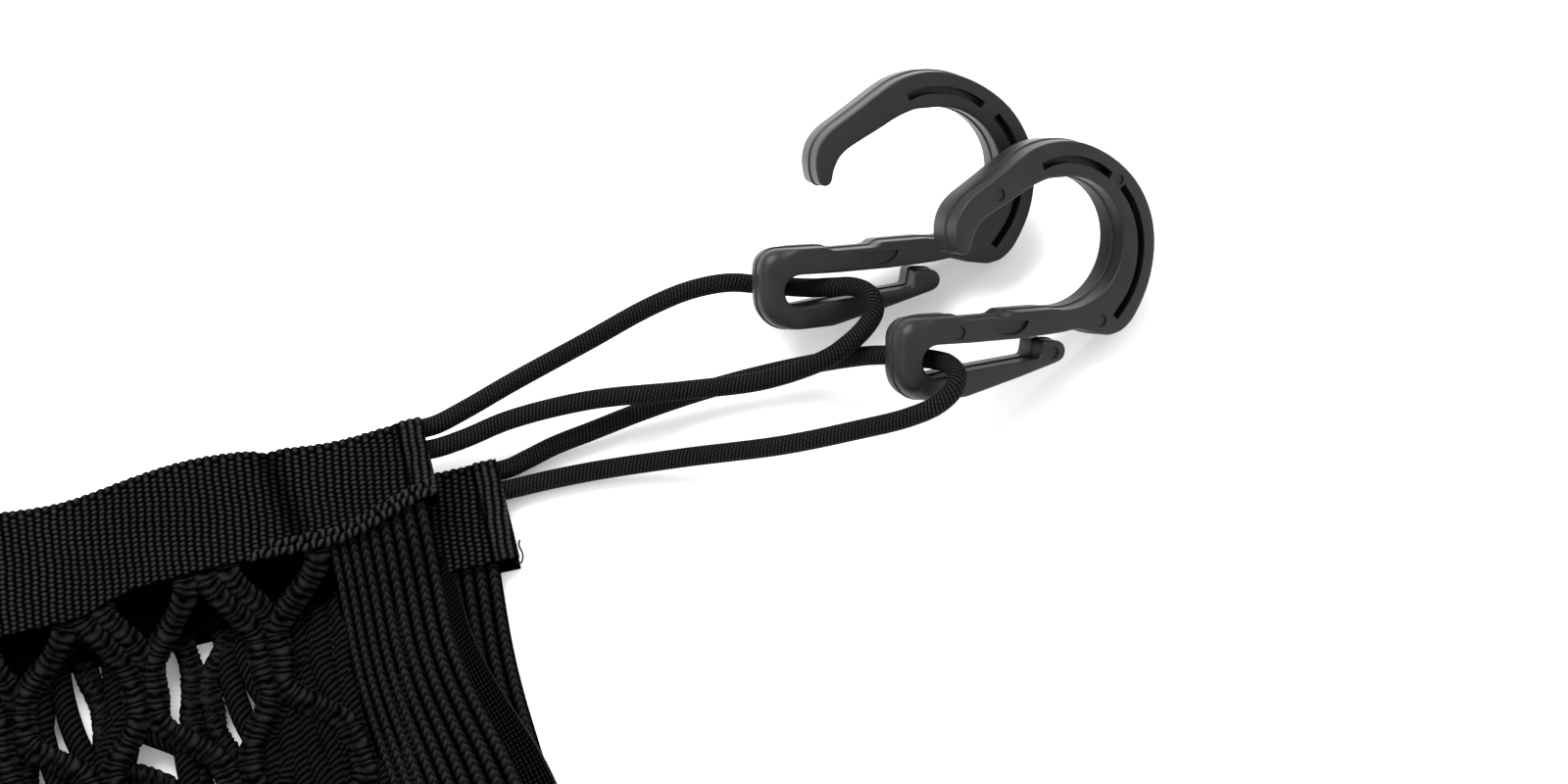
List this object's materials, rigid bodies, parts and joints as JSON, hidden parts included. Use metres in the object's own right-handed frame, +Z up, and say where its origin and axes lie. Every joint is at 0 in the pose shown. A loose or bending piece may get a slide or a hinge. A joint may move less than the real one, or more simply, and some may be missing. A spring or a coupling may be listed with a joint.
{
  "type": "cargo net with hooks",
  "caption": "Two-layer elastic cargo net folded at the bottom, with woven top bands, ribbed side elastics and bungee loops that carry moulded plastic hooks.",
  "frame": {"origin": "on the level underside of the back layer, midway between the two sides and midway up the net", "axes": "+X along the top bands, +Y towards the top bands, +Z up from the surface that the net lies on"},
  "size_m": [0.9884, 0.3453, 0.0394],
  "materials": {
    "yarn": "matt black yarn-wrapped elastic strands",
    "webbing": "matt black cross-ribbed woven band",
    "elastic": "matt black braided elastic with lengthwise ribs",
    "cord": "black braided bungee cord with a low sheen",
    "hook": "charcoal satin moulded plastic"
  },
  "bodies": {
    "root": {"net": "yarn", "top_band_front": "webbing", "top_band_back": "webbing", "side_elastic_right": "elastic", "side_elastic_left": "elastic", "cord_front_right": "cord", "cord_back_right": "cord", "cord_front_left": "cord", "cord_back_left": "cord", "hook_front_right": "hook", "hook_back_right": "hook", "hook_front_left": "hook", "hook_back_left": "hook"}
  },
  "joints": []
}
